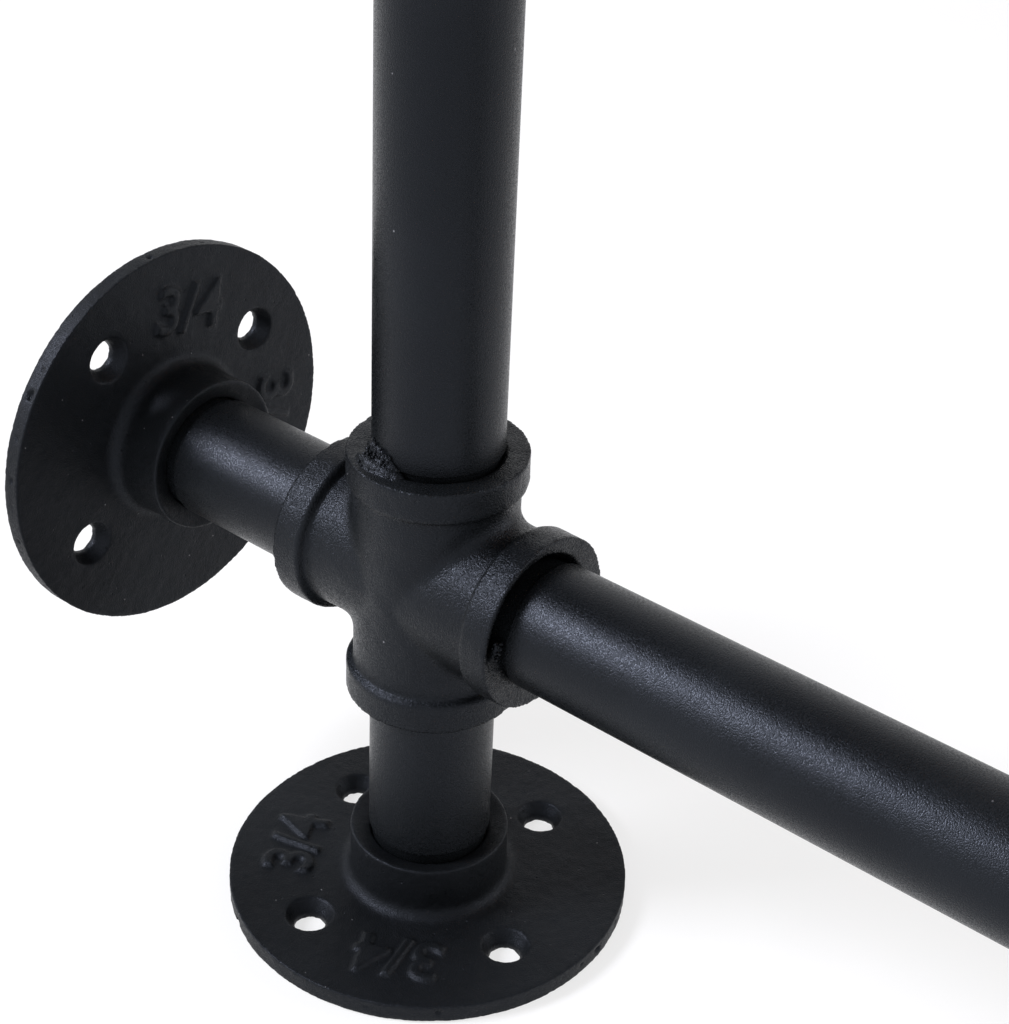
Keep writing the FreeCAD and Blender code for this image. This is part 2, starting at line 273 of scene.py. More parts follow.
@dataclass(frozen=True)
class PowderCoat:
    """Black powder coat: a satin film with a sandy grain, over steel or over a sand casting."""

    name: str
    colour: Rgb = (0.0044, 0.0051, 0.0058)
    glint: Rgb = (0.75, 0.82, 1.0)   # tint of its reflections
    roughness: float = 0.33
    gloss: float = 0.210             # the shader's specular level
    grain: float = 0.31 * MM         # width of the sandy grain
    grain_depth: float = 0.095 * MM
    sparkle: float = 1.0             # how far the grain's roughness varies
    ripple: float = 9 * MM           # width of the slow waves in the film
    ripple_depth: float = 0.05 * MM
    pit_spacing: float = 5 * MM      # between pits that the sand left
    pit: float = 0.09                # radius of a pit, in spacings
    pit_depth: float = 0.0
    speck_spacing: float = 8.5 * MM  # between specks of dust caught in the film
    speck: float = 0.035             # radius of a speck, in spacings
    speck_height: float = 0.06 * MM
    dust: Rgb = (0.16, 0.16, 0.17)
    dust_cover: float = 0.8          # how far a speck hides the film
    cloud: float = 45 * MM           # width of the slow changes in tone
    tones: Pair = (0.75, 1.35)       # shares of the colour that they run between
    cloud_roughness: float = 0.10    # how far they carry the roughness with them

    def make(self) -> Material:
        """Build the material.

        Returns:
            The material.
        """
        material, graph = blank(self.name)
        here = graph.places()
        grain = graph.noise(here, self.grain, detail=1.5, rough=0.6)
        ripple = graph.noise(here, self.ripple, detail=1.5)
        cloud = graph.noise(here, self.cloud, detail=3.0)
        specks = graph.cells(here, self.speck_spacing).rise(self.speck, self.speck * 0.6)
        pits = graph.cells(here, self.pit_spacing).rise(self.pit, self.pit * 0.4)
        height = (
            grain * self.grain_depth
            + ripple * self.ripple_depth
            + specks * self.speck_height
            - pits * self.pit_depth
        ) / MM
        darker, lighter = (tuple(channel * tone for channel in self.colour) for tone in self.tones)
        film = graph.mix(cloud.rise(0.35, 0.65), darker, lighter)
        roughness = self.roughness + (grain - 0.5) * self.sparkle + (cloud - 0.5) * self.cloud_roughness
        graph.surface(
            {
                "Base Color": graph.mix(specks * self.dust_cover, film, self.dust),
                "Roughness": roughness,
                "Specular IOR Level": self.gloss,
                "Specular Tint": (*self.glint, 1.0),
                "Normal": graph.bump(height, MM),
            }
        )
        return material


@dataclass(frozen=True)
class BlackOxide:
    """Blackened steel of a screw: thin, oily and a little worn."""

    name: str = "black_oxide"
    dark: Rgb = (0.018, 0.018, 0.020)
    worn: Rgb = (0.085, 0.080, 0.075)
    patch: float = 1.6 * MM       # width of the worn patches
    scratch: float = 0.25 * MM
    scratch_length: float = 0.15  # how far the scratches are drawn out, along the shank
    scratch_depth: float = 0.02 * MM

    def make(self) -> Material:
        """Build the material.

        Returns:
            The material.
        """
        material, graph = blank(self.name)
        here = graph.places()
        patches = graph.noise(here, self.patch, detail=4.0, rough=0.6)
        drawn_out = graph.places(scale=(1, 1, self.scratch_length))
        scratches = graph.noise(drawn_out, self.scratch, detail=2.0)
        wear = patches.rise(0.55, 0.75)
        graph.surface(
            {
                "Base Color": graph.mix(wear, self.dark, self.worn),
                "Roughness": 0.34 + patches * 0.18,
                "Metallic": 0.55 + wear * 0.35,
                "Normal": graph.bump(scratches, self.scratch_depth),
            }
        )
        return material


@dataclass(frozen=True)
class OiledPine:
    """Oiled pine: growth rings round a heart that runs under the plank, fibres and knots."""

    name: str
    heart: Pair                  # the heart's y and z, in the unit's frame
    knots: tuple[Pair, ...]      # each knot's x and y
    seed: float
    ring: float = 5.2 * MM       # width of a year's growth
    wander: float = 16 * MM      # how far the heart strays along the plank
    knot_reach: float = 17 * MM  # how far a knot bends the rings
    knot_core: float = 6.5 * MM
    knot_stretch: float = 0.62   # below 1, a knot is longer along the plank
    fibre: float = 22 * MM       # length of the darker fibres
    fibre_slim: float = 34       # how much slimmer than long they are
    pore: float = 9 * MM
    pore_slim: float = 60
    relief: float = 0.18 * MM
    early: Rgb = (0.34, 0.165, 0.066)
    late: Rgb = (0.135, 0.052, 0.019)
    core: Rgb = (0.050, 0.020, 0.009)
    pale: float = 1.22           # the lightest early wood, as a share of its colour

    @property
    def shift(self) -> Triple:
        """Moves this plank's patterns away from the other planks'."""
        return self.seed, self.seed * 0.37, self.seed * 0.61

    def make(self) -> Material:
        """Build the material.

        Returns:
            The material.
        """
        material, graph = blank(self.name)
        slow = graph.places(self.shift, (1.0, 3.0, 3.0))
        radius, core = self.rings(graph, slow)
        wobble = (graph.noise(graph.places(self.shift, (2.0, 14, 14)), 0.10, detail=4.0) - 0.5) * 0.9
        year = (radius / self.ring + wobble).fraction()
        summer = year.rise(0.35, 0.93) - year.rise(0.93, 1.0)
        fibre_places = graph.places(self.shift, (1, self.fibre_slim, self.fibre_slim))
        fibres = graph.noise(fibre_places, self.fibre, detail=5.0, rough=0.62)
        pore_places = graph.places(self.shift, (1, self.pore_slim, self.pore_slim))
        pores = graph.noise(pore_places, self.pore, detail=2.0)
        tone = graph.noise(slow, 0.15, detail=3.0)
        wood = graph.mix(tone.rise(0.3, 0.7), self.early, tuple(c * self.pale for c in self.early))
        wood = graph.mix(summer * 0.85, wood, self.late)
        wood = graph.mix(fibres.rise(0.38, 0.72) * 0.55, wood, self.late)
        wood = graph.mix(core, wood, self.core)
        graph.surface(
            {
                "Base Color": wood,
                "Roughness": 0.46 + fibres * 0.22 - summer * 0.08,
                "Specular IOR Level": 0.4,
                "Normal": graph.bump(fibres * 0.5 + pores * 0.2 + summer * 0.4, self.relief),
            }
        )
        return material

    def rings(self, graph: Graph, slow: Socket) -> tuple[Field, Value]:
        """The growth rings, bent by the knots.

        Args:
            graph: where the nodes go.
            slow: places for the heart's slow wander.

        Returns:
            Distance from the heart, and 1 inside a knot.
        """
        x, y, z = graph.parts(graph.places())
        stray = (graph.noise(slow, 0.33, detail=2.0) - 0.5) * self.wander
        stray_up = (graph.noise(slow, 0.21, detail=1.0) - 0.5) * self.wander * 0.8
        across = y - self.heart[0] + stray
        above = z - self.heart[1] + stray_up
        radius = (across * across + above * above).root()
        core: Value = 0.0
        for knot_x, knot_y in self.knots:
            along, aside = (x - knot_x) * self.knot_stretch, y - knot_y
            apart = (along * along + aside * aside).root()
            radius = radius + apart.rise(self.knot_reach * 2.2, 0.0) * self.knot_reach
            core = apart.rise(self.knot_core, self.knot_core * 0.7) + core
        return radius, core


class Finish(Enum):
    """The finishes that the steel and iron pieces wear, by name."""

    PIPE = PowderCoat("pipe_coat")
    FITTING = PowderCoat(
        "fitting_coat",
        roughness=0.34,
        gloss=0.19,
        grain=0.36 * MM,
        grain_depth=0.18 * MM,
        sparkle=1.2,
        ripple=6 * MM,
        pit_depth=0.12 * MM,
    )
    FLANGE = PowderCoat(
        "flange_coat",
        colour=(0.0036, 0.0042, 0.0048),
        roughness=0.50,
        gloss=0.19,
        grain_depth=0.12 * MM,
        sparkle=0.85,
        ripple=7 * MM,
        pit_spacing=4 * MM,
        pit_depth=0.18 * MM,
        speck_spacing=5 * MM,
        speck=0.045,
    )
    STRAP = PowderCoat("strap_coat", grain_depth=0.06 * MM)
    SCREW = BlackOxide()


class Paintbox:
    """Makes each finish's material once."""

    def __init__(self) -> None:
        """Start with nothing mixed."""
        self.made: dict[str, Material] = {}

    def dress(self, piece: Piece, finish: PowderCoat | BlackOxide | OiledPine) -> None:
        """Give a piece one finish all over.

        Args:
            piece: the object.
            finish: what it wears.
        """
        if finish.name not in self.made:
            self.made[finish.name] = finish.make()
        piece.data.materials.clear()
        piece.data.materials.append(self.made[finish.name])


# -------- bench work
class Bench:
    """Operator work, each step on the pieces it is given and on nothing else."""

    @staticmethod
    def pick(*pieces: Piece) -> None:
        """Select some pieces and nothing else.

        Args:
            pieces: the objects; the first is the active one.
        """
        bpy.ops.object.select_all(action="DESELECT")
        for piece in pieces:
            piece.select_set(True)
        bpy.context.view_layer.objects.active = pieces[0]

    @staticmethod
    @contextlib.contextmanager
    def editing(piece: Piece) -> Iterator[None]:
        """Edit mode with everything selected.

        Args:
            piece: the object.
        """
        Bench.pick(piece)
        bpy.ops.object.mode_set(mode="EDIT")
        bpy.ops.mesh.select_all(action="SELECT")
        yield
        bpy.ops.object.mode_set(mode="OBJECT")

    @staticmethod
    def apply(piece: Piece, kind: str, **settings: object) -> None:
        """Add one modifier and apply it.

        Args:
            piece: the object.
            kind: the modifier's type.
            settings: its properties.
        """
        Bench.pick(piece)
        modifier = piece.modifiers.new(kind.lower(), kind)
        for name, value in settings.items():
            setattr(modifier, name, value)
        bpy.ops.object.modifier_apply(modifier=modifier.name)

    @staticmethod
    def settle() -> None:
        """Put the active piece's place and size into its mesh."""
        bpy.ops.object.transform_apply(location=True, rotation=True, scale=True)

    @staticmethod
    def roughen(piece: Piece, name: str, width: float, depth: float) -> None:
        """Make a piece's faces uneven, inwards only.

        Args:
            piece: the object.
            name: the pattern's name.
            width: size of its waves.
            depth: how far in they reach.
        """
        waves = bpy.data.textures.new(name, "CLOUDS")
        waves.noise_scale = width
        waves.noise_depth = 2
        Bench.apply(piece, "DISPLACE", texture=waves, strength=depth, mid_level=1, texture_coords="LOCAL")

    @staticmethod
    def join(first: Piece, *others: Piece) -> Piece:
        """Join pieces.

        Args:
            first: the one that is kept.
            others: what it takes in.

        Returns:
            The first.
        """
        if others:
            Bench.pick(first, *others)
            bpy.ops.object.join()
        return first

    @staticmethod
    def copy(source: Piece, name: str, place: Matrix) -> Piece:
        """A copy with its own mesh.

        Args:
            source: what is copied.
            name: the copy's name.
            place: where the mesh goes; the object stays at the origin.

        Returns:
            The copy.
        """
        mesh = source.data.copy()
        mesh.name = name
        mesh.transform(place)
        piece = bpy.data.objects.new(name, mesh)
        bpy.context.scene.collection.objects.link(piece)
        return piece


def middle(node: str) -> Vector:
    """Middle of a node's box."""
    low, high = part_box(node)
    return (low + high) / 2


def moved(to: Triple | Vector) -> Matrix:
    """A shift from the origin to a place."""
    return Matrix.Translation(to)


def turned(degrees: float, axis: str = "Z") -> Matrix:
    """A turn about one axis."""
    return Matrix.Rotation(math.radians(degrees), 4, axis)


def mouth_reach() -> float:
    """From a fitting's centre to the face of each mouth, which is the same for every pattern."""
    low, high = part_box("left_bottom_cross")
    return (high.z - low.z) / 2


def bead_radius() -> float:
    """Outside radius of the bead round a mouth."""
    low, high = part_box("left_bottom_cross")
    return (high.x - low.x) / 2


def laid_along(direction: Triple) -> Matrix:
    """The turn that lays the Z axis along a direction."""
    return Vector(direction).to_track_quat("Z", "Y").to_matrix().to_4x4()


# -------- castings
@dataclass
class Crumb:
    """One grain of a rough lump: where it sits and how large it is."""

    place: Triple
    radius: float
    shape: Triple  # its width, depth and height, as shares of the radius


@dataclass
class Recess:
    """A round recess, cut from outside a face down to its foot."""

    mouth: Triple            # middle of its opening, on the face
    opens: Triple            # unit vector out of the face
    rim: float               # radius at the face
    foot: float              # radius at the foot
    depth: float
    floor: float             # lowest Z that it reaches
    sides: int = 128
    proud: float = 1.0 * MM  # how far the cutter stands out of the face

    def cutter(self) -> Piece:
        """The solid to cut away.

        Returns:
            A closed cone, flat at its lowest.
        """
        flare = self.rim + (self.rim - self.foot) * self.proud / self.depth
        bpy.ops.mesh.primitive_cone_add(
            vertices=self.sides,
            radius1=self.foot,
            radius2=flare,
            depth=self.depth + self.proud,
            location=(0, 0, (self.proud - self.depth) / 2),
        )
        cutter = bpy.context.object
        Bench.settle()
        cutter.data.transform(moved(self.mouth) @ laid_along(self.opens))
        with Bench.editing(cutter):
            bpy.ops.mesh.bisect(plane_co=(0, 0, self.floor), plane_no=UP, clear_inner=True, use_fill=True)
        return cutter


@dataclass
class Seal:
    """Part of a ring of sealant that closes the gap between a mouth and its pipe."""

    opens: Triple                            # unit vector out of the mouth
    outer: float                             # the ring's outside radius
    width: float                             # from its outside to its inside
    sunk: float                              # below the mouth's face
    depth: float
    cuts: tuple[tuple[Triple, Triple], ...]  # planes: a point, and the side that goes


@dataclass
class Place:
    """Where one casting goes: the node it stands for and the matrix from its pattern's frame."""

    node: str
    matrix: Matrix


@dataclass
class Casting:
    """A sand casting: made once in its pattern's frame, and copied to each of its places."""

    slot = "fitting_casting"
    finish = Finish.FITTING

    pattern: str
    places: list[Place]            # the first is the node the pattern is taken from
    sand: float = 0.40 * MM        # size of the skin's facets
    soften: int = 2                # rounds of smoothing over edges and blends
    swell: float = 0.0             # coat over the pattern, before the sand's unevenness
    lump_width: float = 6 * MM     # slow unevenness of the sand mould
    lump_depth: float = 0.22 * MM
    tooth_width: float = 1.1 * MM  # rough tooth of the sand itself
    tooth_depth: float = 0.09 * MM
    kept: float = 0.40             # share of facets kept where the skin is plain
    crumbs: list[Crumb] = field(default_factory=list)  # under the skin
    grit: list[Crumb] = field(default_factory=list)  # over the skin
    recesses: list[Recess] = field(default_factory=list)
    large_crumb: float = 0.7 * MM  # over this radius a crumb gets finer facets
    ring_sides: int = 160

    def build(self, paint: Paintbox) -> None:
        """Make the pattern and copy it to its places.

        Args:
            paint: dresses each copy.
        """
        pattern = self.rough()
        self.skin(pattern)
        Bench.join(pattern, *(self.crumb(number, grain) for number, grain in enumerate(self.grit)))
        for place in self.places:
            casting = Bench.copy(pattern, f"{place.node}_casting", place.matrix)
            paint.dress(casting, self.finish.value)
            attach(casting, BODY)
            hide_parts(place.node)
            log.info("%s: %d faces", casting.name, len(casting.data.polygons))
        bpy.data.objects.remove(pattern)

    def rough(self) -> Piece:
        """The casting's plain body in the pattern's frame, with what is cut from it and cast on.

        Returns:
            The body, before its skin.
        """
        first = self.places[0]
        body = Bench.copy(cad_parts[first.node], self.pattern, first.matrix.inverted())
        body.data.materials.clear()
        with Bench.editing(body):
            bpy.ops.mesh.remove_doubles(threshold=0.001 * MM)
            bpy.ops.mesh.customdata_custom_splitnormals_clear()
        cutters = self.cut_away()
        if cutters:
            cutter = Bench.join(*cutters)
            Bench.apply(
                body, "BOOLEAN", operation="DIFFERENCE", solver="EXACT", object=cutter, use_self=True
            )
            bpy.data.objects.remove(cutter)
        added = [self.crumb(number, crumb) for number, crumb in enumerate(self.crumbs)]
        return Bench.join(body, *added, *self.cast_on())

    def cut_away(self) -> list[Piece]:
        """What is cut from the body."""
        return [recess.cutter() for recess in self.recesses]

    def cast_on(self) -> list[Piece]:
        """More that is cast onto the body; a plain casting has nothing."""
        return []

    def crumb(self, number: int, crumb: Crumb) -> Piece:
        """A rough grain of metal or sealant, knocked out of round.

        Args:
            number: which grain, so that no two are alike.
            crumb: its place, size and shape.

        Returns:
            A closed solid.
        """
        fine = 3 if crumb.radius > self.large_crumb else 2
        bpy.ops.mesh.primitive_ico_sphere_add(subdivisions=fine, radius=crumb.radius, location=crumb.place)
        grain = bpy.context.object
        with Bench.editing(grain):
            bpy.ops.transform.resize(value=crumb.shape, center_override=crumb.place)
            bpy.ops.transform.vertex_random(offset=crumb.radius * 0.22, seed=number + 3)
            bpy.ops.mesh.vertices_smooth(factor=0.4)
        Bench.pick(grain)
        Bench.settle()
        bpy.ops.object.shade_smooth()
        return grain

    def ring(
        self, outer: float, width: float, top: float, height: float, opens: Triple = UP
    ) -> Piece:
        """A square-edged ring, which keeps an edge of the casting crisp.

        Args:
            outer: its outside radius.
            width: from its outside to its inside.
            top: its upper face, along its axis.
            height: from its upper face to its lower one.
            opens: its axis, out of the face it lies on.

        Returns:
            The ring.
        """
        bpy.ops.mesh.primitive_cylinder_add(
            vertices=self.ring_sides,
            radius=outer,
            depth=height,
            end_fill_type="NOTHING",
            location=(0, 0, top - height / 2),
        )
        ring = bpy.context.object
        Bench.settle()
        Bench.apply(ring, "SOLIDIFY", thickness=width, offset=-1.0)
        ring.data.transform(laid_along(opens))
        return ring

    def skin(self, body: Piece) -> None:
        """Give a body the one skin, soft edges and uneven face of a sand casting.

        Args:
            body: the body, changed in place.
        """
        Bench.apply(body, "REMESH", mode="VOXEL", voxel_size=self.sand, use_smooth_shade=True)
        Bench.apply(body, "SMOOTH", factor=0.5, iterations=self.soften)
        if self.swell:
            Bench.apply(body, "DISPLACE", strength=self.swell, mid_level=0.0)
        Bench.roughen(body, f"{self.pattern}_lumps", self.lump_width, self.lump_depth)
        Bench.roughen(body, f"{self.pattern}_tooth", self.tooth_width, self.tooth_depth)
        Bench.apply(body, "DECIMATE", ratio=self.kept)
        Bench.pick(body)
        bpy.ops.object.shade_smooth()


@dataclass
class Fitting(Casting):
    """A pipe fitting: a casting with a bead and a crisp lip round each mouth."""

    mouths: tuple[Triple, ...] = ()
    lip: float = 1.0 * MM
    seals: list[Seal] = field(default_factory=list)

    def cast_on(self) -> list[Piece]:
        """A lip round every mouth, and the seals.

        Returns:
            Closed solids.
        """
        bead, reach = bead_radius(), mouth_reach()
        lips = [self.ring(bead, self.lip, reach, self.lip, mouth) for mouth in self.mouths]
        return lips + [self.seal(seal, reach) for seal in self.seals]

    def seal(self, seal: Seal, reach: float) -> Piece:
        """A piece of ring that closes the gap round a pipe.

        Args:
            seal: what is filled.
            reach: from the casting's middle to the mouth's face.

        Returns:
            A closed solid.
        """
        filled = self.ring(seal.outer, seal.width, reach - seal.sunk, seal.depth, seal.opens)
        for place, away in seal.cuts:
            with Bench.editing(filled):
                bpy.ops.mesh.bisect(plane_co=place, plane_no=away, clear_outer=True, use_fill=True)
        return filled


@dataclass
class Flange(Casting):
    """A threaded flange, with its pipe size cast twice onto its face between the screw holes."""

    slot = "flange_casting"
    finish = Finish.FLANGE

    radius: float = 45.0 * MM
    face: float = 4.6 * MM          # the plate's face above its back
    rim: float = 1.4 * MM           # how far in the rim's crisp edge reaches
    mark: str = "3/4"
    mark_height: float = 15.5 * MM  # the font's full height
    mark_raise: float = 0.85 * MM
    mark_sunk: float = 0.6 * MM
    mark_circle: float = 30.2 * MM
    mark_turns: tuple[float, ...] = (45.0, -45.0)
    rim_pits: int = 30              # left by loose sand round the rim
    pit_out: float = 0.2 * MM       # a pit's middle, outside the rim
    pit_band: Pair = (0.2, 0.82)    # where the pits lie, as shares of the face's height
    pit_sizes: Pair = (0.6 * MM, 1.35 * MM)
    seal: float = 13.7 * MM         # inside of the coat that closes the hub round its pipe
    seal_width: float = 1.6 * MM
    seal_top: float = 16.1 * MM

    def cut_away(self) -> list[Piece]:
        """Pits round the rim, scattered by the golden angle.

        Returns:
            Closed solids.
        """
        out = self.radius + self.pit_out
        low, high = self.pit_band
        small, large = self.pit_sizes
        pits = []
        for number in range(self.rim_pits):
            angle = number * GOLDEN_ANGLE
            height = self.face * (low + (high - low) * (number * GOLDEN_SHARE % 1.0))
            size = small + (large - small) * (number * PIT_SIZE_STEP % 1.0)
            pit = Crumb((math.cos(angle) * out, math.sin(angle) * out, height), size, (1, 1, 0.8))
            pits.append(self.crumb(number, pit))
        return pits

    def cast_on(self) -> list[Piece]:
        """The rim's crisp edge and the raised size marks, their tops towards the rim.

        Returns:
            Closed solids.
        """
        return [
            self.ring(self.radius, self.rim, self.face, self.rim),
            self.ring(self.seal + self.seal_width, self.seal_width, self.seal_top, self.seal_width),
            *(self.size_mark(turn) for turn in self.mark_turns),
        ]

    def size_mark(self, turn: float) -> Piece:
        """One raised mark.

        Args:
            turn: its place round the flange, in degrees.

        Returns:
            A closed solid that reaches a little into the plate.
        """
        bpy.ops.object.text_add()
        mark = bpy.context.object
        mark.data.body = self.mark
        mark.data.size = self.mark_height
        mark.data.align_x = "CENTER"
        mark.data.align_y = "CENTER"
        mark.data.resolution_u = 4
        mark.data.offset = 0.35 * MM
        mark.data.extrude = (self.mark_raise + self.mark_sunk) / 2
        Bench.pick(mark)
        bpy.ops.object.convert(target="MESH")
        mark = bpy.context.object
        with Bench.editing(mark):
            bpy.ops.mesh.remove_doubles(threshold=0.01 * MM)
        lift = self.face + (self.mark_raise - self.mark_sunk) / 2
        mark.data.transform(turned(turn - 90) @ moved((0, self.mark_circle, lift)))
        return mark


class SideFrame:
    """One ladder frame's castings, found from its nodes."""

    floor_turn = 15.5  # degrees where a floor flange's thread stopped, holes against +X
    wall_turn = 34.0
    mark_turns = {"left": (180, 90, 0, 180), "right": (90, 270, 90, 270)}  # a flange's own quarter turns

    def __init__(self, name: str) -> None:
        """Take the frame called left or right."""
        self.name = name
        self.side = -1 if name == "left" else 1

    def crosses(self) -> list[Place]:
        """The bottom cross; the right one is the same casting turned half round."""
        node = f"{self.name}_bottom_cross"
        return [Place(node, moved(middle(node)) @ turned(0 if self.side < 0 else 180))]

    def elbows(self) -> list[Place]:
        """The top front elbow, from where its two runs cross; its mouths look down and to the wall.

        Returns:
            Its place.
        """
        node = f"{self.name}_top_front_elbow"
        low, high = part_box(node)
        reach = mouth_reach()
        centre = Vector(((low.x + high.x) / 2, high.y - reach, low.z + reach))
        return [Place(node, moved(centre))]

    def tees(self) -> list[Place]:
        """Every tee. In the pattern's frame the run is on Z and the branch on -Y.

        Returns:
            Their places.
        """
        turns = {f"{self.name}_rear_tee_{level}": turned(0) for level in (1, 2)}
        turns |= {f"{self.name}_front_tee_{level}": turned(180) for level in (1, 2)}
        turns[f"{self.name}_bottom_front_tee"] = turned(180)
        turns[f"{self.name}_top_rear_tee"] = turned(90, "X")
        places = []
        for node, turn in turns.items():
            branch = turn @ Vector((0, -1, 0))
            centre = self.run_centre(node, branch)
            places.append(Place(node, moved(centre) @ turn))
        return places

    @staticmethod
    def run_centre(node: str, branch: Vector) -> Vector:
        """Where a tee's run and branch cross.

        Args:
            node: the tee.
            branch: which way its branch points.

        Returns:
            The point, which is off the middle of the box on the branch's axis.
        """
        low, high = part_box(node)
        centre = (low + high) / 2
        mouth = Vector([high[i] if branch[i] > 0.5 else low[i] for i in range(3)])
        for i in range(3):
            if abs(branch[i]) > 0.5:
                centre[i] = mouth[i] - branch[i] * mouth_reach()
        return centre

    def flanges(self) -> list[Place]:
        """The four flanges. In the pattern's frame the back is at 0 and the hub on +Z.

        Returns:
            Their places.
        """
        rear, front, lower, upper = self.mark_turns[self.name]
        places = []
        for row, extra in (("rear", rear), ("front", front)):
            node = f"{self.name}_{row}_floor_flange"
            foot = middle(node)
            foot.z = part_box(node)[0].z
            turn = self.floor_turn * self.side + extra
            places.append(Place(node, moved(foot) @ turned(turn)))
        for height, extra in (("lower", lower), ("upper", upper)):
            node = f"{self.name}_{height}_wall_flange"
            back = middle(node)
            back.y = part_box(node)[1].y
            upright = turned(90, "X") @ turned(extra - self.wall_turn * self.side)
            places.append(Place(node, moved(back) @ upright))
        return places


# -------- boards
@dataclass
class ShelfBoard:
    """A shelf board: two planks of pine, edge to edge, with eased arrises."""

    level: int
    hearts: tuple[Pair, Pair]      # each heart's offset in y and z
    knots: tuple[tuple[Pair, ...], tuple[Pair, ...]]
    ease: float = 2.2 * MM
    ease_rings: int = 3
    cuts: int = 40
    hollow_width: float = 70 * MM  # slow unevenness that the plane left
    hollow_depth: float = 0.25 * MM

    @property
    def node(self) -> str:
        """The board's node."""
        return f"shelf_board_{self.level}"

    def build(self, paint: Paintbox) -> None:
        """Make both planks and put them in the board's place.

        Args:
            paint: mixes the wood.
        """
        low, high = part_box(self.node)
        seam = (low.y + high.y) / 2
        planks = []
        for number, (front, back) in enumerate(((low.y, seam), (seam, high.y))):
            corner, far = Vector((low.x, front, low.z)), Vector((high.x, back, high.z))
            plank = self.plank(corner, far)
            heart_y, heart_z = self.hearts[number]
            finish = OiledPine(
                f"pine_{self.level}_{number + 1}",
                heart=((front + back) / 2 + heart_y, low.z + heart_z),
                knots=tuple((x, (front + back) / 2 + y) for x, y in self.knots[number]),
                seed=self.level * 3.7 + number * 1.9,
            )
            paint.dress(plank, finish)
            planks.append(plank)
        board = Bench.join(*planks)
        board.name = f"{self.node}_planks"
        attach(board, BODY)
        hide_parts(self.node)
        log.info("%s: %d faces", board.name, len(board.data.polygons))

    def plank(self, low: Vector, high: Vector) -> Piece:
        """One plank, between two corners.

        Args:
            low: the lowest.
            high: the highest.

        Returns:
            The plank.
        """
        bpy.ops.mesh.primitive_cube_add(size=1.0, location=(low + high) / 2, scale=high - low)
        plank = bpy.context.object
        Bench.settle()
        with Bench.editing(plank):
            bpy.ops.mesh.bevel(offset=self.ease, segments=self.ease_rings, affect="EDGES")
        with Bench.editing(plank):
            for cut in range(1, self.cuts):
                x = low.x + (high.x - low.x) * cut / self.cuts
                bpy.ops.mesh.select_all(action="SELECT")
                bpy.ops.mesh.bisect(plane_co=(x, 0, 0), plane_no=(1, 0, 0))
        Bench.roughen(plank, "plane_hollows", self.hollow_width, self.hollow_depth)
        Bench.pick(plank)
        bpy.ops.object.shade_smooth_by_angle(angle=math.radians(25))
        return plank


# -------- pipes and metalwork
class Metalwork:
    """The pieces whose nodes have the right shape, and the finish that each kind wears."""

    finishes = {
        "upright": Finish.PIPE,
        "rail": Finish.PIPE,
        "nipple": Finish.PIPE,
        "strap_screws": Finish.SCREW,
        "pipe_straps": Finish.STRAP,
    }

    def dress(self, paint: Paintbox) -> None:
        """Dress each node whose name holds one of the kinds.

        Args:
            paint: mixes the finishes.
        """
        for node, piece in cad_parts.items():
            for kind, finish in self.finishes.items():
                if kind in node:
                    paint.dress(piece, finish.value)


# -------- stage
@dataclass
class SoftLight:
    """A square soft light."""

    name: str
    place: Triple
    target: Triple
    side: float
    watts: float
    colour: Rgb = (1.0, 1.0, 1.0)

    def build(self) -> None:
        """Hang the light."""
        lamp = bpy.data.lights.new(self.name, "AREA")
        lamp.shape = "SQUARE"
        lamp.size = self.side
        lamp.energy = self.watts
        lamp.color = self.colour
        light = bpy.data.objects.new(self.name, lamp)
        light.location = self.place
        light.rotation_mode = "QUATERNION"
        aim = Vector(self.target) - Vector(self.place)
        light.rotation_quaternion = aim.to_track_quat("-Z", "Y")
        light.visible_camera = False
        bpy.context.scene.collection.objects.link(light)


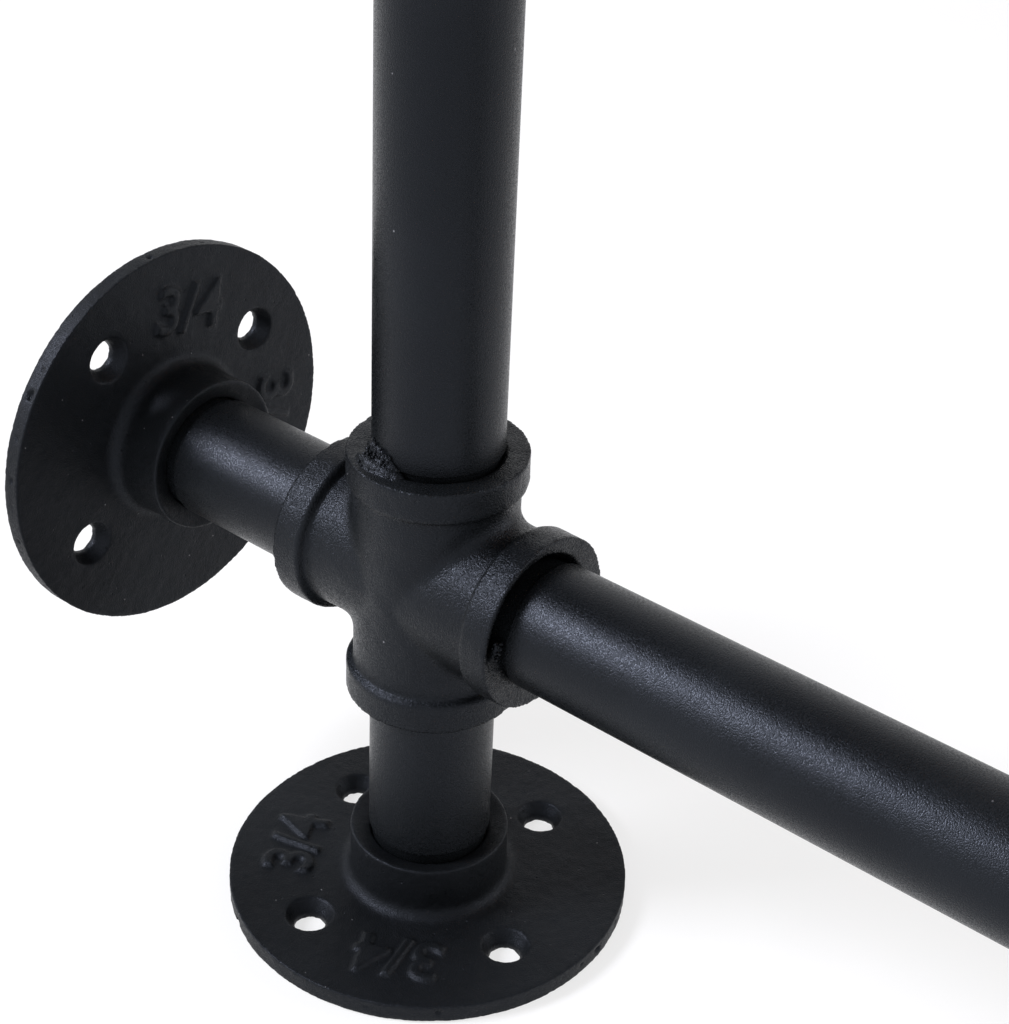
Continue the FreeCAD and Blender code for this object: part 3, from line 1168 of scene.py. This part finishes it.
@dataclass
class Studio:
    """A pale floor that fades into a white surround, soft lights and the camera."""

    floor_radius: float = 7.0
    floor_sides: int = 96
    floor_fade: float = 3.2         # where the floor starts to fade into the surround
    floor_colour: Rgb = (0.86, 0.86, 0.87)
    floor_glow: float = 0.70        # share of plain white in the floor under the unit
    floor_white: Pair = (1.0, 2.9)  # where that share rises, and where it is all
    sky: Rgb = (0.34, 0.35, 0.38)
    horizon: Rgb = (1.0, 1.0, 1.0)

    camera_place: Triple = (-0.65420, -0.08852, 0.32799)
    camera_azimuth: float = -51.32
    camera_elevation: float = 32.24
    camera_roll: float = 2.58
    focal_length: float = 74.163  # for a 36 mm sensor along the picture's long side

    lights: tuple[SoftLight, ...] = (
        SoftLight("key", (-1.93, 1.65, 1.85), (-0.25, 0.1, 0.35), 0.85, 99, (0.92, 0.93, 1.0)),
        SoftLight("fill", (2.1, -2.4, 2.0), (0.0, 0.0, 0.5), 2.4, 48, (1.0, 0.99, 0.97)),
    )

    def build(self) -> None:
        """Lay the floor, light the world and set the camera."""
        self.floor()
        self.world()
        for light in self.lights:
            light.build()
        self.camera()
        settings = bpy.context.scene.view_settings
        settings.view_transform = "Standard"

    def floor(self) -> None:
        """A round floor just under the feet, seen as white but for the shadow on it."""
        bpy.ops.mesh.primitive_circle_add(
            vertices=self.floor_sides, radius=self.floor_radius, fill_type="NGON"
        )
        floor = bpy.context.object
        floor.name = "studio_floor"
        with Bench.editing(floor):
            bpy.ops.mesh.inset(thickness=self.floor_radius - self.floor_fade)
        material, graph = blank("studio_floor")
        seen = self.seen(graph)
        paint = graph.node("ShaderNodeBsdfDiffuse", {}, {"Color": (*self.floor_colour, 1.0)})
        glow = graph.node("ShaderNodeEmission", {}, {"Color": (*self.horizon, 1.0), "Strength": 1.0})
        x, y, _ = graph.parts(graph.places())
        out = (x * x + y * y).root()
        share = out.rise(*self.floor_white) * (1 - self.floor_glow) + self.floor_glow
        lit = graph.blend(seen * share, paint, glow)
        away = out.rise(self.floor_fade, self.floor_radius * 0.96)
        clear = graph.node("ShaderNodeBsdfTransparent")
        faded = graph.blend(away, lit, clear)
        graph.node("ShaderNodeOutputMaterial", {}, {"Surface": faded.outputs[0]})
        floor.data.materials.append(material)

    @staticmethod
    def seen(graph: Graph) -> Field:
        """Tell the rays from the camera, and those that mirror or glass send on.

        Args:
            graph: where the nodes go.

        Returns:
            1 for such a ray.
        """
        path = graph.node("ShaderNodeLightPath")
        camera, glossy, through = (
            Field(graph, path.outputs[name])
            for name in ("Is Camera Ray", "Is Glossy Ray", "Is Transmission Ray")
        )
        return camera.at_least(glossy).at_least(through)

    def world(self) -> None:
        """White round the horizon and below it, and a dimmer sky overhead."""
        world = bpy.data.worlds.new("studio")
        bpy.context.scene.world = world
        world.use_nodes = True
        graph = Graph(world.node_tree)
        direction = graph.node("ShaderNodeTexCoord").outputs["Generated"]
        _, _, up = graph.parts(direction)
        colour = graph.mix(up.rise(0.50, 0.80), self.horizon, self.sky)
        shade = graph.node("ShaderNodeBackground", {}, {"Color": colour, "Strength": 1.0})
        graph.node("ShaderNodeOutputWorld", {}, {"Surface": shade.outputs[0]})

    def camera(self) -> None:
        """The camera, low on the left and looking down on the bottom rear corner."""
        lens = bpy.data.cameras.new("camera")
        lens.lens = self.focal_length
        lens.clip_start = 0.01
        azimuth, elevation = math.radians(self.camera_azimuth), math.radians(self.camera_elevation)
        back = Vector(
            (
                math.sin(azimuth) * math.cos(elevation),
                -math.cos(azimuth) * math.cos(elevation),
                math.sin(elevation),
            )
        )
        aim = (-back).to_track_quat("-Z", "Y").to_matrix().to_4x4()
        camera = bpy.data.objects.new("camera", lens)
        camera.matrix_world = moved(self.camera_place) @ aim @ turned(self.camera_roll)
        bpy.context.scene.collection.objects.link(camera)
        bpy.context.scene.camera = camera


# -------- the cross's details
# In the pattern's frame. At the front mouth the sand washed out a hollow beside the rail, and
# sealant closes the gap below it. At the top mouth sealant is heaped against the upright.
MOUTH = mouth_reach()
PIPE_SIDE = 13.45      # the pipe's radius, in millimetres
HEAP = (150.0, 188.0)  # where the heap lies round the top mouth, in degrees
HEAP_STEPS = 11
LIP = (18.1, 18.3)     # where grit lies along a lip, in millimetres from the mouth's middle
WASHED_OUT = Recess(
    mouth=(-2.4 * MM, -MOUTH, 1.3 * MM),
    opens=TO_FRONT,
    rim=15.1 * MM,
    foot=12.8 * MM,
    depth=5.0 * MM,
    floor=0.0,
)
RAIL_SEAL = Seal(
    opens=TO_FRONT,
    outer=15.6 * MM,
    width=2.9 * MM,
    sunk=0.15 * MM,
    depth=2.0 * MM,
    cuts=(((0, 0, 0.4 * MM), UP), ((-7.6 * MM, 0, 0), (1, 0, 0))),
)


def round_mouth(turn: float, out: float, rise: float) -> Triple:
    """A point at the cross's top mouth, from a turn in degrees and millimetres out and up."""
    angle = math.radians(turn)
    return out * MM * math.cos(angle), out * MM * math.sin(angle), MOUTH + rise * MM


def slope(turn: float) -> Pair:
    """How the heap slopes; it ends in line with the upright's side.

    Args:
        turn: degrees round the mouth.

    Returns:
        Its height and width there, in millimetres.
    """
    along = (turn - HEAP[0]) / (HEAP[1] - HEAP[0])
    lean = math.cos(math.radians(turn + 41.0 - 270))
    width = min(13.2 / lean, 17.2 - 1.6 * along**2) - PIPE_SIDE
    return 3.7 * (1 - along**3) + 0.7, max(width, 0.6)


def heap() -> list[Crumb]:
    """The sealant that climbs the upright in the cross's top mouth, and a lump beside the rail.

    Returns:
        Grains under the skin.
    """
    crumbs = []
    for number in range(HEAP_STEPS):
        turn = HEAP[0] + (HEAP[1] - HEAP[0]) * number / (HEAP_STEPS - 1)
        height, width = slope(turn)
        low = round_mouth(turn, 13.3 + 0.42 * width, 0.1 * height)
        high = round_mouth(turn, 13.6, 0.5 * height)
        crumbs.append(Crumb(low, max(0.55 * width, 0.9) * MM, (1.0, 1.0, 0.8)))
        crumbs.append(Crumb(high, 0.5 * height * MM, (0.5, 0.7, 1.0)))
    for turn, radius in ((178, 1.3), (173, 0.9)):
        angle = math.radians(turn)
        place = (14.3 * MM * math.cos(angle), -MOUTH + 0.3 * MM, 14.3 * MM * math.sin(angle))
        crumbs.append(Crumb(place, radius * MM, (1.0, 0.8, 1.0)))
    return crumbs


def loose_grit() -> list[Crumb]:
    """Crisp grains over the heap, along two of the lips and over the lump beside the rail.

    Returns:
        Grains over the skin.
    """
    dice = random.Random(11)
    grit = []
    for _ in range(90):  # over the heap
        turn = dice.uniform(HEAP[0], 187)
        height, width = slope(turn)
        climb = dice.random() ** 0.8
        place = round_mouth(turn, PIPE_SIDE + 0.1 + width * (1 - climb), 0.1 + height * climb)
        shape = (0.7, 0.7, 1.5) if dice.random() < 0.4 else (1.0, 0.9, 0.8)
        grit.append(Crumb(place, dice.uniform(0.20, 0.46) * MM, shape))
    for _ in range(44):  # along the top lip
        place = round_mouth(dice.uniform(150, 250), dice.uniform(*LIP), dice.uniform(-0.2, -0.02))
        grit.append(Crumb(place, dice.uniform(0.16, 0.32) * MM, (1.0, 1.0, 0.8)))
    for _ in range(26):  # along the front lip
        angle, out = math.radians(dice.uniform(95, 178)), dice.uniform(*LIP) * MM
        place = (out * math.cos(angle), -MOUTH + dice.uniform(0.02, 0.2) * MM, out * math.sin(angle))
        grit.append(Crumb(place, dice.uniform(0.16, 0.28) * MM, (1.0, 0.8, 1.0)))
    for _ in range(30):  # over the lump beside the rail
        angle, out = math.radians(dice.uniform(169, 184)), dice.uniform(13.6, 15.6) * MM
        place = (out * math.cos(angle), -MOUTH - dice.uniform(-0.5, 0.7) * MM, out * math.sin(angle))
        grit.append(Crumb(place, dice.uniform(0.22, 0.5) * MM, (1.0, 0.8, 0.8)))
    return grit


def castings() -> list[Casting]:
    """Every pattern, with all its places on both frames.

    Returns:
        The patterns, in the order they are made.
    """
    left, right = SideFrame("left"), SideFrame("right")
    return [
        Fitting(
            "cross",
            left.crosses() + right.crosses(),
            swell=0.28 * MM,
            lump_depth=0.32 * MM,
            crumbs=heap(),
            grit=loose_grit(),
            recesses=[WASHED_OUT],
            mouths=(UP, DOWN, TO_WALL, TO_FRONT),
            seals=[RAIL_SEAL],
        ),
        Fitting("tee", left.tees() + right.tees(), kept=0.26, mouths=(UP, DOWN, TO_FRONT)),
        Fitting("elbow", left.elbows() + right.elbows(), kept=0.26, mouths=(DOWN, TO_WALL)),
        Flange("flange", left.flanges() + right.flanges(), tooth_depth=0.17 * MM),
    ]


BOARDS = (
    ShelfBoard(
        level=1,
        hearts=((0.012, -0.055), (-0.020, -0.040)),
        knots=(((-0.21, 0.020),), ((0.265, -0.018),)),
    ),
    ShelfBoard(
        level=2,
        hearts=((-0.030, -0.045), (0.018, -0.070)),
        knots=(((0.33, -0.028),), ()),
    ),
    ShelfBoard(
        level=3,
        hearts=((0.024, -0.060), (-0.010, -0.050)),
        knots=(((0.095, 0.030),), ((-0.30, 0.012),)),
    ),
)


def main() -> None:
    """Build every piece in order, dress it and set the stage."""
    logging.basicConfig(level=logging.INFO, format="%(message)s")
    Studio().build()
    paint = Paintbox()
    Metalwork().dress(paint)
    for casting in castings():
        casting.build(paint)
    for board in BOARDS:
        board.build(paint)


if __name__ == "__main__":
    main()
